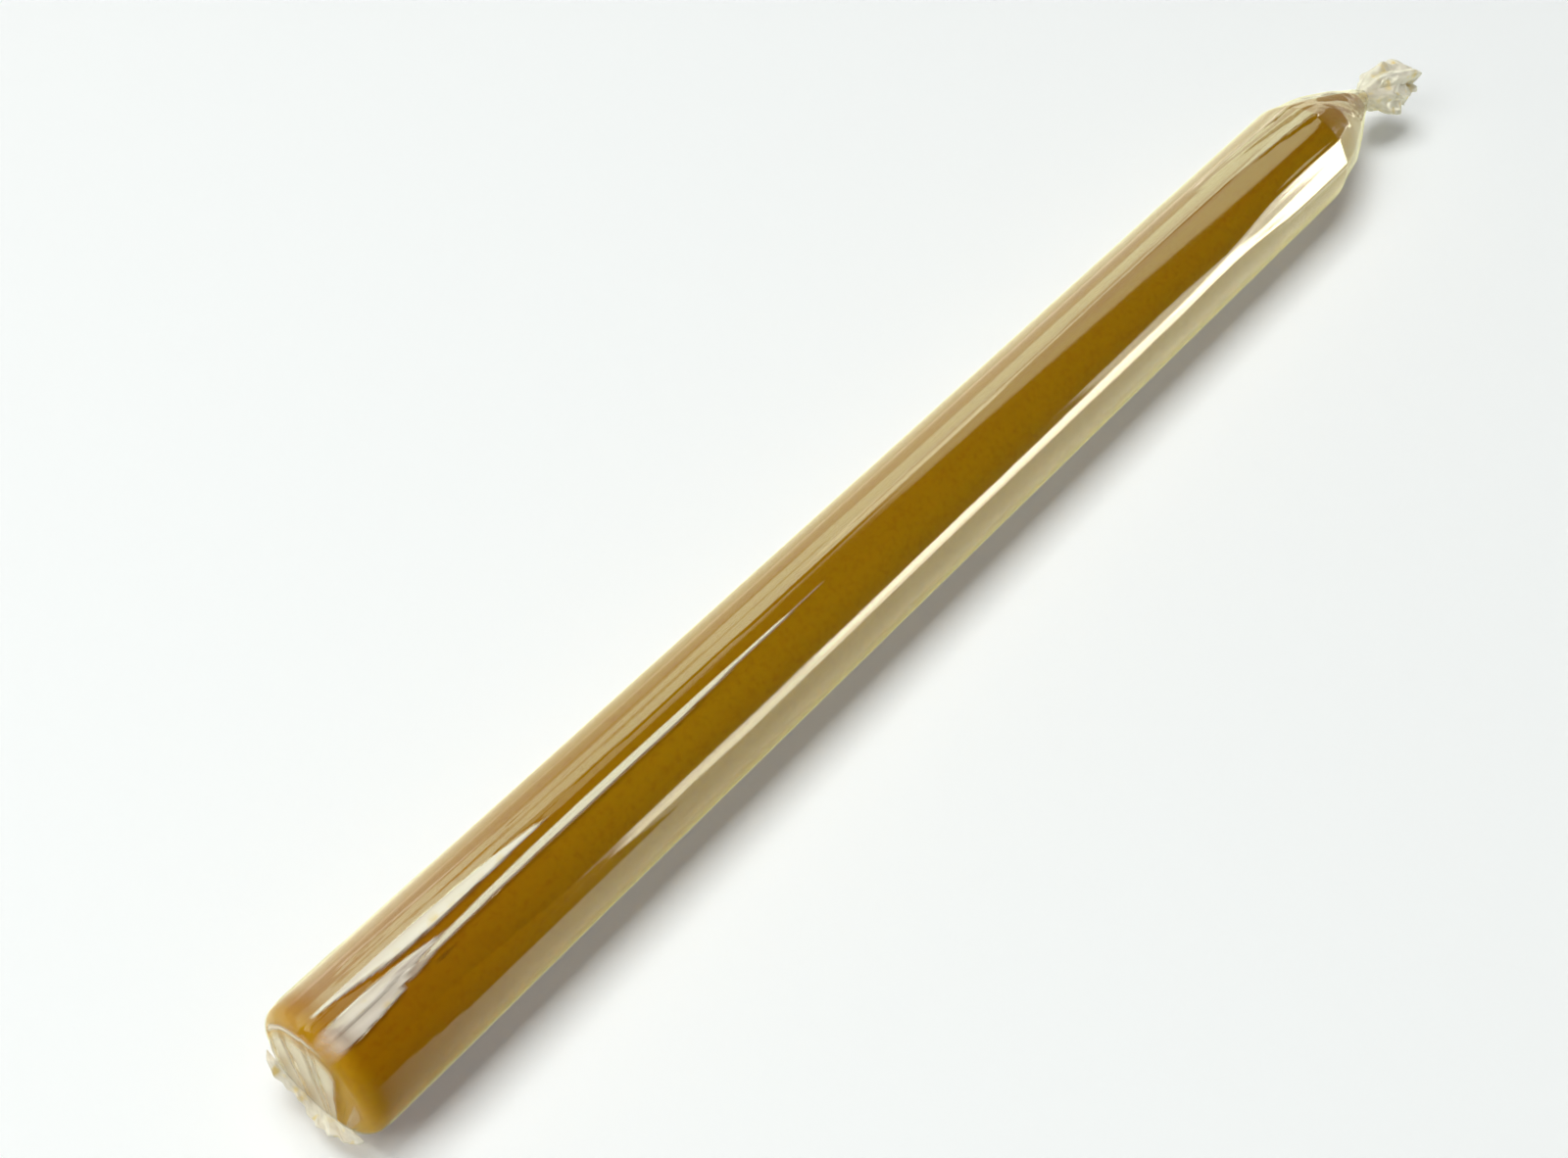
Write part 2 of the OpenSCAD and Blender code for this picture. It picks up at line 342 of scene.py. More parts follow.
@dataclass(frozen=True)
class CandleWax:
    """Paraffin wax, drawn smooth and dyed honey amber: deep colour with a soft glow at thin edges.

    Its tone drifts in broad clouds, with reddish streaks along the draw and fine flecks.
    It has painted light: a lighter tone low on the right side, where light falls on it. It is
    browner towards the base, has a painted golden glow at the base's rim, and is paler on the tip.
    """

    amber: str = "#BB8702"
    olive: str = "#B08602"
    # painted light: the lighter tone low on the right side, where light falls
    streak: str = "#A65C00"
    light: str = "#D2A312"
    base_brown: str = "#B37602"
    # painted glow: golden light through the thin rounded edge of the base
    rim: str = "#D8A608"
    pale: str = "#D6A65A"
    fleck: str = "#A05A00"
    gloss: str = "#FFF6B0"
    roughness: float = 0.3
    ior: float = 1.44
    cloud_mm: float = 26.0
    cloud_stretch: float = 0.35
    streak_mm: float = 2.6
    streak_stretch: float = 0.02
    fleck_mm: float = 1.1
    fleck_depth_mm: float = 0.08
    painted_light_mm: Pair = (-1.0, -9.0)
    base_brown_mm: float = 70.0
    rim_glow_mm: float = 4.0
    pale_mm: Pair = (-24.0, -19.0)
    glow_mm: float = 2.0

    def material(self, sizes: Frame) -> bpy.types.Material:
        """Build the wax's material.

        Args:
            sizes: the candle's frame, for where the base and the tip are.

        Returns:
            The material.
        """
        material = bpy.data.materials.new("honey_amber_paraffin")
        add = empty_tree(material)
        place = add("TexCoord").outputs["Object"]
        split = add("SeparateXYZ", {"Vector": place})
        stretched = add("Mapping", {"Vector": place, "Scale": (self.cloud_stretch, 1.0, 1.0)})
        clouds = add("TexNoise", {
            "Vector": stretched, "Scale": 1 / (self.cloud_mm * MM), "Detail": 3.0, "Roughness": 0.5})
        drawn = add("Mapping", {"Vector": place, "Scale": (self.streak_stretch, 1.0, 1.0)})
        lines = add("TexNoise", {
            "Vector": drawn, "Scale": 1 / (self.streak_mm * MM), "Detail": 3.0, "Roughness": 0.6})
        flecks = add("TexNoise", {"Vector": place, "Scale": 1 / (self.fleck_mm * MM), "Detail": 2.0})
        tone = add("Mix", {
            "Factor": clouds, "A": linear(self.olive), "B": linear(self.amber)}, data_type="RGBA")
        base, tip = sizes.wax_low.x * MM, sizes.wax_high.x * MM
        along, across = split.outputs["X"], split.outputs["Y"]
        for value, (start, stop), (first, last), colour, curve in (
            (lines, (0.5, 0.72), (0.0, 0.5), self.streak, "LINEAR"),
            # painted light, lighter low on the right side
            (across, [y * MM for y in self.painted_light_mm], (0.0, 0.7), self.light, "SMOOTHSTEP"),
            (along, (base, base + self.base_brown_mm * MM), (0.85, 0.0), self.base_brown, "SMOOTHSTEP"),
            # painted glow at the base's rim
            (along, (base + self.rim_glow_mm * MM, base), (0.0, 0.8), self.rim, "SMOOTHSTEP"),
            (along, [tip + x * MM for x in self.pale_mm], (0.0, 0.2), self.pale, "SMOOTHSTEP"),
            (flecks, (0.48, 0.72), (0.0, 0.25), self.fleck, "LINEAR"),
        ):
            share = add("MapRange", {"Value": value, "From Min": start, "From Max": stop, "To Min": first,
                                     "To Max": last}, interpolation_type=curve)
            tone = add("Mix", {"Factor": share, "A": tone, "B": linear(colour)}, data_type="RGBA")
        bump = add("Bump", {"Height": flecks, "Strength": 0.15, "Distance": self.fleck_depth_mm * MM})
        shader = add("BsdfPrincipled", {
            "Base Color": tone, "Roughness": self.roughness, "IOR": self.ior, "Specular IOR Level": 0.06,
            "Specular Tint": linear(self.gloss), "Subsurface Weight": 0.3,
            "Subsurface Radius": (1.0, 0.5, 0.08), "Subsurface Scale": self.glow_mm * MM, "Normal": bump})
        add("OutputMaterial", {"Surface": shader})
        return material


@dataclass(frozen=True)
class CottonWick:
    """Braided cotton, soaked in wax: cream strands with a slight gloss, and painted shade in the grooves
    between them.
    """

    cream: str = "#F6E9B4"
    # painted shade for the grooves between the strands
    groove: str = "#CDAF62"
    strand_mm: float = 0.25
    strand_depth_mm: float = 0.1

    def material(self) -> bpy.types.Material:
        """Build the wick's material.

        Returns:
            The material.
        """
        material = bpy.data.materials.new("waxed_cotton_braid")
        add = empty_tree(material)
        place = add("TexCoord").outputs["Object"]
        fibres = add("TexNoise", {"Vector": place, "Scale": 1 / (self.strand_mm * MM), "Detail": 4.0})
        depth = add("Attribute", attribute_name="strand")
        # painted shade: the groove colour darkens the low places between the strands
        tone = add("Mix", {"Factor": depth.outputs["Fac"], "A": linear(self.groove), "B": linear(self.cream)},
                   data_type="RGBA")
        bump = add("Bump", {"Height": fibres, "Strength": 0.6, "Distance": self.strand_depth_mm * MM})
        shader = add("BsdfPrincipled", {"Base Color": tone, "Roughness": 0.5, "IOR": 1.44, "Normal": bump})
        add("OutputMaterial", {"Surface": shader})
        return material


@dataclass(frozen=True)
class WrappingFilm:
    """Clear polypropylene film, drawn tight: sharp gloss, see-through, milky where it is crumpled.

    At each of its two faces, the share of light that it mirrors rises as in Schlick's rule
    for its IOR: F0 + (1 - F0) times the fifth power of one minus the cosine. Fine wrinkles
    keep it well below a full mirror at the grazing edges. The light that passes falls by
    that share once for each layer, and the wax's own gloss just behind counts as one more.
    Where it is milky it scatters light off its front and through its back, with honey
    spots where it is bunched, and it still lets some light pass into its shadow.
    """

    ior: float = 1.5
    roughness: float = 0.08
    grazing: float = 0.3
    sheen: str = "#FFFEF4"
    tint: str = "#FBFAF4"
    milky: str = "#FDFAEE"
    milky_back: float = 0.25
    milky_roughness: float = 0.3
    honey: str = "#F3DD7C"
    spot_mm: float = 2.2
    scratch_mm: float = 0.7
    scratch_depth_mm: float = 0.04
    scratch_stretch: float = 0.03
    shade_passed: float = 0.55

    def material(self) -> bpy.types.Material:
        """Build the film's material.

        Returns:
            The material.
        """
        material = bpy.data.materials.new("clear_polypropylene_film")
        add = empty_tree(material)
        place = add("TexCoord").outputs["Object"]
        drawn = add("Mapping", {"Vector": place, "Scale": (self.scratch_stretch, 1.0, 1.0)})
        scratches = add("TexNoise", {"Vector": drawn, "Scale": 1 / (self.scratch_mm * MM), "Detail": 3.0})
        bump = add("Bump", {"Height": scratches, "Strength": 0.25, "Distance": self.scratch_depth_mm * MM})
        facing = add("LayerWeight", {"Blend": 0.5, "Normal": bump})
        fifth = add("Math", {0: facing.outputs["Facing"], 1: 5.0}, operation="POWER")
        normal_share = ((self.ior - 1) / (self.ior + 1)) ** 2
        share = add("Math", {
            0: fifth, 1: (1 - normal_share) * self.grazing, 2: normal_share}, operation="MULTIPLY_ADD")
        layers = add("Attribute", attribute_name="layers")
        passed = add("Math", {0: 1.0, 1: share}, operation="SUBTRACT")
        through = add("Math", {0: passed, 1: layers.outputs["Fac"]}, operation="POWER")
        mirrored = add("Math", {0: 1.0, 1: through}, operation="SUBTRACT")
        clear = add("BsdfTransparent", {"Color": linear(self.tint)})
        gloss = add("BsdfGlossy", {"Color": linear(self.sheen), "Roughness": self.roughness, "Normal": bump})
        film = add("MixShader", {0: mirrored, 1: clear, 2: gloss})
        spots = add("TexNoise", {"Vector": place, "Scale": 1 / (self.spot_mm * MM)})
        spotted = add("MapRange", {
            "Value": spots, "From Min": 0.54, "From Max": 0.68, "To Min": 0.0, "To Max": 0.75})
        # milkiness from the mesh, which includes the wall's painted sheen and the rim's painted highlight
        crumple = add("Attribute", attribute_name="crumple")
        bunched = add("MapRange", {"Value": crumple.outputs["Fac"], "From Min": 0.55, "From Max": 0.8})
        spotted = add("Math", {0: spotted, 1: bunched}, operation="MULTIPLY")
        creamy = add("Mix", {
            "Factor": spotted, "A": linear(self.milky), "B": linear(self.honey)}, data_type="RGBA")
        front = add("BsdfPrincipled", {
            "Base Color": creamy, "Roughness": self.milky_roughness, "IOR": self.ior, "Normal": bump})
        back = add("BsdfTranslucent", {"Color": creamy})
        milk_and_sheen = add("MixShader", {0: self.milky_back, 1: front, 2: back})
        path = add("LightPath")
        kept = add("Math", {
            0: path.outputs["Is Shadow Ray"], 1: -self.shade_passed, 2: 1.0}, operation="MULTIPLY_ADD")
        covered = add("Math", {0: crumple.outputs["Fac"], 1: kept}, operation="MULTIPLY")
        whole = add("MixShader", {0: covered, 1: film, 2: milk_and_sheen})
        add("OutputMaterial", {"Surface": whole})
        return material


@dataclass
class WaxBody:
    """The wax of the candle, in one piece with the channel that holds the wick."""

    sizes: Frame
    columns: int = 160
    wall_rows: int = 40
    edge_steps: int = 10
    shoulder_steps: int = 5
    side_steps: int = 16
    tip_edge_steps: int = 8

    def shape(self) -> WaxShape:
        """Section of the wax, from the frame's sizes."""
        return WaxShape(self.sizes.wall_r, self.sizes.wax_len)

    def profile(self) -> Array:
        """Closed outline of the section: straight lines and the shape's arcs.

        Returns:
            Points of radius and distance from the base.
        """
        s = self.shape()
        flat_r, quarter = s.wall_r - s.base_edge_r, math.pi / 2
        wall = np.linspace(s.base_edge_r, s.shoulder_c[1], self.wall_rows + 2)[1:-1]
        return np.concatenate([
            [[s.channel_r, 0.0], [(s.channel_r + flat_r) / 2, 0.0]],
            arc((flat_r, s.base_edge_r), s.base_edge_r, -quarter, 0.0, self.edge_steps),
            spread(s.wall_r, wall),
            arc(s.shoulder_c, s.shoulder_r, 0.0, s.shoulder_turn, self.shoulder_steps),
            arc(s.side_c, s.side_r, s.shoulder_turn, s.tip_edge_turn, self.side_steps)[1:-1],
            arc(s.tip_edge_c, s.tip_edge_r, s.tip_edge_turn, quarter, self.tip_edge_steps),
            [[s.channel_r, s.length]],
        ])

    def surface(self) -> Array:
        """Surface of the wax: each point of the outline, carried round the axis in a circle.

        Returns:
            Points, rows by columns by 3.
        """
        outline = self.profile()
        angle = np.linspace(0, 2 * math.pi, self.columns, endpoint=False)
        r, x = outline[:, :1], outline[:, 1:]
        return self.sizes.place(spread(x, r * np.cos(angle), r * np.sin(angle)))

    def build(self) -> bpy.types.Object:
        """Make the wax, dress it, and let it stand for its node.

        Returns:
            The piece.
        """
        piece = grid_object("candle_wax", self.surface(), True, CandleWax().material(self.sizes))
        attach(piece, BODY)
        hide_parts("wax_body")
        return piece


@dataclass
class Wick:
    """The braided wick, through the whole candle and out at its tip."""

    sizes: Frame
    line: WickLine
    radius: float = 1.1
    free_len: float = 12.0
    pitch: float = 4.0
    groove: float = 0.22
    sunk: float = 2.0
    columns: int = 40
    free_rows: int = 90

    def surface(self) -> tuple[Array, Array]:
        """Points of the wick and how high each stands on its strand.

        Outside the wax the radius sinks between the strands of a four-strand braid: by the
        groove's depth times half of one minus the product of two cosines, whose crests run
        round the wick one way and the other.

        Returns:
            Points, and the strand's height from 0 to 1.
        """
        t = np.linspace(0, 2 * math.pi, self.columns, endpoint=False)
        s = np.concatenate([[-self.sizes.wax_len, -self.sizes.wax_len / 2],
                            np.linspace(-self.sunk, self.free_len, self.free_rows)])[:, None]
        turn = 2 * math.pi * s / self.pitch
        crest = np.cos(2 * t + turn) * np.cos(2 * t - turn)
        height = mix(1.0, (1 + crest) / 2, ramp(-1.5, 0.5, s))
        points = self.line.round_it(s, self.radius - self.groove * (1 - height), t)
        return self.sizes.place(points), np.broadcast_to(height, points.shape[:2])

    def build(self) -> bpy.types.Object:
        """Make the wick, dress it, and let it stand for its node.

        Returns:
            The piece.
        """
        points, height = self.surface()
        piece = grid_object("braided_wick", points, False, CottonWick().material(), {"strand": height})
        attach(piece, BODY)
        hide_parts("wick")
        return piece


@dataclass(frozen=True)
class Pleat:
    """A stretch of film on the wall that lies in pleats instead of on the round.

    Its two edges run along the candle. Between them the film climbs from the left edge at
    the given slope and drops again, once for each fold.

    Attributes:
        along: distances from the base, in millimetres.
        left: angle of the left edge at each, in degrees from +Y towards +Z.
        right: angle of the right edge at each.
        slope: how steeply the film climbs, in degrees.
        folds: number of times that it climbs and drops.
        layers: how many layers of film lie there.
        flat: whether it is drawn flat from edge to edge instead, off the round wall.
        relax: degrees beyond the edges in which a flat stretch comes back to the wall.
        milk_and_sheen: how milky it is, from 0 to 1; on the wall it is in part a painted sheen, white that
            stands in for reflection.
        rise: length over which a climbing stretch lifts off at its start.
        soft_edge: share of the width over which the milkiness and its painted sheen fade at each edge.
        soft_base: distance from the base over which it fades.
        soft_end: length over which it fades at the far end.
    """

    along: tuple[float, ...]
    left: tuple[float, ...]
    right: tuple[float, ...]
    slope: float
    folds: int = 1
    layers: float = 1.0
    flat: bool = False
    relax: float = 6.0
    milk_and_sheen: float = 0.0
    rise: float = 4.0
    soft_edge: float = 0.08
    soft_base: float = 6.5
    soft_end: float = 2.5

    def share(self, x: Array, t: Array) -> tuple[Array, Array]:
        """Place across the pleat: the angle beyond the left edge, divided by the width.

        Args:
            x: distances from the base, a number or a column.
            t: angles round the candle, a row in radians.

        Returns:
            The place, from 0 at the left edge to 1 at the right one, and the width in degrees.
        """
        left = np.interp(x, self.along, self.left)
        width = np.maximum(np.interp(x, self.along, self.right) - left, 1e-6)
        return degrees_from(left, t, 120) / width, width

    def inside(self, x: Array, t: Array) -> Array:
        """1 within the pleat's edges and ends, 0 outside them."""
        share, _ = self.share(x, t)
        return ((share > 0) & (share <= 1) & (x >= self.along[0]) & (x <= self.along[-1])).astype(float)

    def tooth(self, x: Array, t: Array) -> Array:
        """How far each point has climbed on its fold, from 0 to 1."""
        share, _ = self.share(x, t)
        return share * self.folds - np.ceil(share * self.folds) + 1

    def milky_sheen(self, x: Array, t: Array) -> Array:
        """How milky the film is, with a painted sheen of white reflection: soft at the edges, the ends and
        the base, fullest high on each fold.

        Args:
            x: distances from the base, a column.
            t: angles round the candle, a row.

        Returns:
            Milkiness with its painted sheen, from 0 to 1, rows by columns.
        """
        share, _ = self.share(x, t)
        across = ramp(0, self.soft_edge, share) * ramp(0, self.soft_edge, 1 - share)
        ends = ramp(0, self.soft_base, x) * ramp(0, self.soft_end, self.along[-1] - x)
        return self.milk_and_sheen * self.inside(x, t) * across * ends * (0.7 + 0.3 * self.tooth(x, t))

    def height(self, x: Array, t: Array, r: float) -> Array:
        """Height over the round wall.

        A climbing pleat is a sawtooth over its width, one tooth for each fold. A flat one is
        the plane that touches the wall along its middle, and comes down beyond its edges.

        Args:
            x: distances from the base, a number or a column.
            t: angles round the candle, a row.
            r: the wall's radius.

        Returns:
            Heights, rows by columns.
        """
        share, width = self.share(x, t)
        if self.flat:
            half = np.radians(width) / 2
            within = np.clip(2 * share - 1, -1, 1)
            beyond = np.maximum(np.abs(share - 0.5) - 0.5, 0) * width
            plane = r / np.cos(half * within) - r
            ends = ramp(self.along[0], self.along[1], x) * (x <= self.along[-1])
            return plane * ends * (1 - ramp(0, self.relax, beyond))
        climb = r * np.radians(width) / self.folds * math.tan(math.radians(self.slope))
        start = ramp(self.along[0] - 0.5, self.along[0] + self.rise, x)
        return self.inside(x, t) * climb * self.tooth(x, t) * start


@dataclass
class FilmSleeve:
    """The clear film: one sleeve of two skins, folded over the base and twisted at the wick.

    Each stretch is a function of k, from 0 to 1 along it, and of t, the angle round the
    candle from +Y towards +Z. The columns lie closer together on top. The fin and the fold
    go round a line across the base, which is tilted and lies below the middle.
    """

    sizes: Frame
    wax: WaxShape
    line: WickLine
    columns: int = 200
    crowding: float = 0.42
    crowded_at: float = math.radians(112)
    thickness: float = 0.08
    gap: float = 0.06
    edge_inset: float = 0.4
    fold_drop: float = 4.5
    fold_sag: float = 2.2
    fold_tilt: float = math.radians(11)
    fold_sweep: float = math.radians(28)
    fold_gather: float = 0.28
    fold_crumple: float = 0.34
    fin_half_t: float = 0.2
    fin_far: float = 0.55
    fin_loose: float = 1.1
    fin_end_fall: float = 0.85
    fin_notches: Pair = (0.24, 0.16)
    fin_notch_pitch: float = 2.3
    fin_waves: Pair = (0.35, 1.6)
    base_pleat: float = 0.6
    pleat_span: Pair = (0.08, 0.88)
    neck_out: float = 4.0
    neck_r: float = 1.58
    neck_pleat: float = 0.14
    cone_start: float = 0.3
    twist_pleats: int = 7
    twist_pleat: float = 0.9
    twist_turn: float = math.radians(70)
    twist_slow: float = 0.82
    twist_folds: tuple[float, ...] = (0.65, 0.25, 0.35)
    tuft_len: float = 14.0
    tuft_r: float = 4.4
    tuft_close: float = math.radians(150)
    tuft_ruffle: float = 0.2
    tuft_crumple: float = 0.5
    tuft_ragged: float = 1.2
    tuft_edge: float = 0.9
    milkiest: float = 0.9
    crease_half: Pair = (18.0, 78.0)
    crease_rise: Pair = (0.008, 0.026)
    crease_degrees: Pair = (1.6, 5.0)
    crease_drift: float = 0.12
    seed: int = 7
    pleats: tuple[Pleat, ...] = (
        # painted sheen: the milkiness of the first three pleats stands in part for white reflection along
        # them
        Pleat((3, 6, 10, 15, 22, 32, 42, 45), (85, 84, 84, 84, 84.5, 87, 92.5, 95.5),
              (87, 88, 91.5, 97, 98.5, 98, 96, 96), 14, 1, 5.0, milk_and_sheen=0.7),
        Pleat((0.2, 2, 3.2, 4, 5, 6, 7.5, 9, 10.5, 12, 13.5, 15, 17, 20, 23),
              (106, 101, 99, 98, 98, 98, 98, 98, 98.5, 99, 99.5, 100, 101, 103, 106),
              (118, 121.5, 120, 121.5, 119.5, 121, 119.5, 120.5, 118, 119, 116.5, 111, 108, 107, 106.5),
              11, 2, 5.0, milk_and_sheen=0.72),
        Pleat((14.5, 17, 20, 25, 30, 40, 50, 60, 70, 85, 100, 108),
              (109, 107.5, 107, 106, 105, 104, 103.5, 104, 104.5, 105.5, 107, 108),
              (116, 114.5, 112.5, 112, 112, 111, 111.3, 111, 111.3, 109.5, 108.5, 108.3),
              22, 1, 3.8, milk_and_sheen=0.3),
        Pleat((19, 20.5, 22.5), (117, 117, 118), (119.5, 119.5, 119), 28, 1, 5.0),
        Pleat((-9, 5, 20, 46, 57, 62), (138, 138, 138, 147, 156, 160), (154.5, 155, 160, 160, 160, 160.5),
              0, 1, -0.4),
        Pleat((8, 14, 42), (77, 77.5, 80), (79, 79.5, 81), 0, 1, 0.0),
        Pleat((12, 40, 110), (71, 72.5, 73), (72, 74, 74), 0, 1, 0.2),
        Pleat((26, 60, 112), (79.5, 80.5, 82), (81, 82.5, 83), 0, 1, 0.1),
        Pleat((118, 200, 262.5), (87, 86, 88), (88.3, 87.5, 89.5), 0, 1, 0.0),
        Pleat((8, 20, 40, 70), (66, 68, 71, 76), (70, 73, 76, 77), 10),
        Pleat((30, 60, 110, 160), (84, 86, 89, 92), (87, 91, 93, 92.5), 5),
        Pleat((0, 262.5), (112, 112), (124, 124), 0.8),
        Pleat((0, 20, 50), (200, 204, 208), (212, 212, 209), 8, 2, 2.0),
        Pleat((0, 15, 40), (262, 264, 268), (276, 274, 269), 2, 2, 2.0),
        Pleat((0, 20, 60), (15, 18, 24), (32, 30, 25), 8, 2, 2.0),
        Pleat((0, 12, 34), (318, 320, 322), (330, 328, 323), 8, 1, 2.0),
        Pleat((200, 222, 228, 234, 240, 250, 262.5), (146, 143, 139, 135, 134, 134, 136),
              (151, 153.5, 155, 158, 161, 162.5, 163), 0, 1, 1.4, True),
        Pleat((225, 240, 262.5), (66, 64, 62), (70, 76, 88), 8, 2, 1.6),
        Pleat((236, 252, 262.5), (89, 87, 88), (92, 98, 104), 9, 1, 1.5),
    )

    def __post_init__(self) -> None:
        """Work out the sizes that follow from the others, and draw the creases."""
        turn = np.linspace(0, 2 * math.pi, self.columns, endpoint=False)[None, :]
        self.t = turn - self.crowding * np.sin(turn - self.crowded_at)
        self.degrees = np.degrees(self.t) % 360
        self.inset = self.gap + self.thickness
        self.flat_r = self.wax.wall_r - self.wax.base_edge_r
        self.fin_out = self.sizes.wax_low.x - self.sizes.film_low.x - self.inset
        self.fold_half = math.sqrt((self.flat_r - self.edge_inset) ** 2 - self.fold_drop**2)
        self.fin_half = math.sqrt((self.wax.wall_r - self.edge_inset) ** 2 - self.fold_drop**2)
        self.film_end = self.sizes.film_high.x - self.sizes.wax_low.x
        random = np.random.default_rng(self.seed)
        self.streaks = random.uniform(0, 1, (46, 6))
        self.creases = random.uniform(0, 1, (8, 4))

    def circle(self, x: Array, r: Array) -> Array:
        """Points of circles round the axis: x, then r times the cosine and sine of t."""
        return spread(x, r * np.cos(self.t), r * np.sin(self.t))

    def by_angle(self, angles: tuple[float, ...], values: tuple[float, ...]) -> Array:
        """Value at each column, straight between the values given at some angles in degrees."""
        return np.interp(self.degrees, angles, values)

    def lifts(self, x: Array | float) -> Array:
        """Height of the film above its tight radius along the wall.

        The named pleats start at the base's fold and at the shoulder. Fine creases of random
        place, length and width lie along the film between them, each a low rounded ridge.

        Args:
            x: distance from the base, a number or a column.

        Returns:
            Heights, rows by columns.
        """
        height = sum(pleat.height(x, self.t, self.wax.wall_r) for pleat in self.pleats)
        for place, middle, length, width, rise, drift in self.streaks:
            along = x - middle * (self.wax.length - self.wax.tip_len)
            fade = np.clip(1 - (along / np.interp(length, (0, 1), self.crease_half)) ** 2, 0.0, 1.0)
            away = degrees_from(360 * place + self.crease_drift * (drift - 0.5) * along, self.t, 180)
            ridge = np.exp(-((away / np.interp(width, (0, 1), self.crease_degrees)) ** 2))
            height = height + np.interp(rise, (0, 1), self.crease_rise) * fade * ridge
        return height

    def crumple(self, along: Array, around: Array, size: float) -> Array:
        """Height of crumpled film, from 0 to 1: flat facets between straight sharp folds.

        It is the mean of triangle waves that run in random directions over the sheet, each
        with a period between one and three times the given size.

        Args:
            along: place along the candle, in millimetres.
            around: place round it, in millimetres.
            size: the shortest period, in millimetres.

        Returns:
            Heights, rows by columns.
        """
        heights = 0.0
        for direction, period, phase, weight in self.creases:
            turn = math.pi * direction
            place = (along * math.cos(turn) + around * math.sin(turn)) / (size * (1 + 2 * period))
            heights = heights + (0.5 + weight) * triangle(place + phase)
        return 0.5 + 0.5 * heights / np.sum(0.5 + self.creases[:, 3])

    def on_fold(self, half: Array, thick: float, wave: Array | float) -> tuple[Array, Array]:
        """The flattened sleeve round the fold line.

        Along the line it goes with the cosine of the fold angle, and across it with the
        signed square root of the sine, on a line that sags with the square of the sine.

        Args:
            half: half the line's length.
            thick: half the thickness across it.
            wave: how far the line is moved across itself.

        Returns:
            y and z of the points.
        """
        sine = np.sin(self.fold_angle())
        along = half * np.cos(self.fold_angle())
        across = (thick * np.sign(sine) * np.sqrt(np.abs(sine)) - self.fold_drop
                  - self.fold_sag * sine**2 + wave)
        cos, sin = math.cos(self.fold_tilt), math.sin(self.fold_tilt)
        return along * cos - across * sin, along * sin + across * cos

    def fold_angle(self) -> Array:
        """Angle round the fold line that each column runs to, swept sideways across the base."""
        turned = self.t - self.fold_tilt
        return turned + self.fold_sweep * np.sin(turned) + self.fold_gather * np.sin(2 * turned)

    def pleat_height(self) -> Array:
        """Height of the base's pleats: slopes that end in a sharp drop.

        Returns:
            Heights from 0 to 1, one for each column.
        """
        edges = (0, 24, 24.1, 54, 54.1, 86, 86.1, 97, 97.1, 128, 128.1, 150, 150.1, 176, 176.1, 205, 205.1,
                 240, 240.1, 270, 270.1, 300, 300.1, 335, 335.1, 360)
        tops = (0.3, 0.8, 0.1, 0.9, 0.1, 1, 0.2, 0.8, 0.15, 1, 0, 0.12, 0.8, 0.15, 0.1, 0.8, 0.2,
                0.9, 0.1, 0.7, 0.1, 0.8, 0.1, 0.9, 0.1, 0.3)
        return self.by_angle(edges, tops)

    def pleat_rise(self, k: Array | float) -> Array:
        """How far the base's pleats rise along the fold: their height times a stretch of a sine of k."""
        return self.pleat_height() * np.sin(math.pi * mix(*self.pleat_span, k))

    def fin(self, k: Array, depth: float) -> Array:
        """The doubled edge that stands out of the base, crumpled along its free edge.

        It stands out by its length, less broad notches and fine ones, falls off at its ends
        with the eighth power of the cosine of the fold angle, and waves more towards its edge.

        Args:
            k: 0 to 1 along it, a column.
            depth: distance behind the outer skin.

        Returns:
            Its points.
        """
        cosine = np.cos(self.fold_angle())
        along = self.fin_half * cosine
        broad, fine = self.fin_notches
        notch = (1 - broad * (1 + np.cos(5 * self.fold_angle())) / 2
                 - fine * (1 + triangle(along / self.fin_notch_pitch + 0.2)) / 2)
        ends = (1 - self.fin_end_fall * cosine**8) * mix(1, self.fin_far, (1 + cosine) / 2)
        out = (self.fin_out + self.fin_loose) * notch * ends
        swing, creased = self.fin_waves
        wave = swing * np.sin(3 * math.pi * cosine) + creased * (self.crumple(along, 2.4 * k, 1.3) - 0.5)
        half = mix(self.fin_half, self.fold_half, k)
        y, z = self.on_fold(half - depth, self.fin_half_t - depth, (1 - k) * wave)
        return spread(k * depth - self.inset - mix(out, self.base_pleat, k), y, z)

    def fold(self, k: Array, depth: float) -> Array:
        """The pleated fold over the base, from the fin's root to the rounded edge.

        Each column goes straight from the fold line to the edge. It is lifted by the square
        of what is left of k, by the pleats, and by a crumple that dies out at both ends.

        Args:
            k: 0 to 1 along it, a column.
            depth: distance behind the outer skin.

        Returns:
            Its points.
        """
        y, z = self.on_fold(self.fold_half - depth, self.fin_half_t - depth, 0.0)
        y = mix(y, self.flat_r * np.cos(self.t), k)
        z = mix(z, self.flat_r * np.sin(self.t), k)
        lift = self.base_pleat * ((1 - k) ** 2 + mix(0.3, 1.0, k) * self.pleat_rise(k))
        lift = lift + self.fold_crumple * np.sin(math.pi * k) * self.crumple(y, z, 2.2)
        return spread(depth - self.inset - lift, y, z)

    def rim(self, k: Array, depth: float) -> Array:
        """Round the base's edge: a quarter circle, whose pleats die out towards the wall.

        Args:
            k: 0 to 1 along it, a column.
            depth: distance behind the outer skin.

        Returns:
            Its points.
        """
        pleat = self.base_pleat * self.pleat_rise(1.0) * (1 - k)
        r = self.wax.base_edge_r + self.inset - depth + pleat + self.lifts(0.0) * k
        turn = math.pi / 2 * k
        return self.circle(self.wax.base_edge_r - r * np.cos(turn), self.flat_r + r * np.sin(turn))

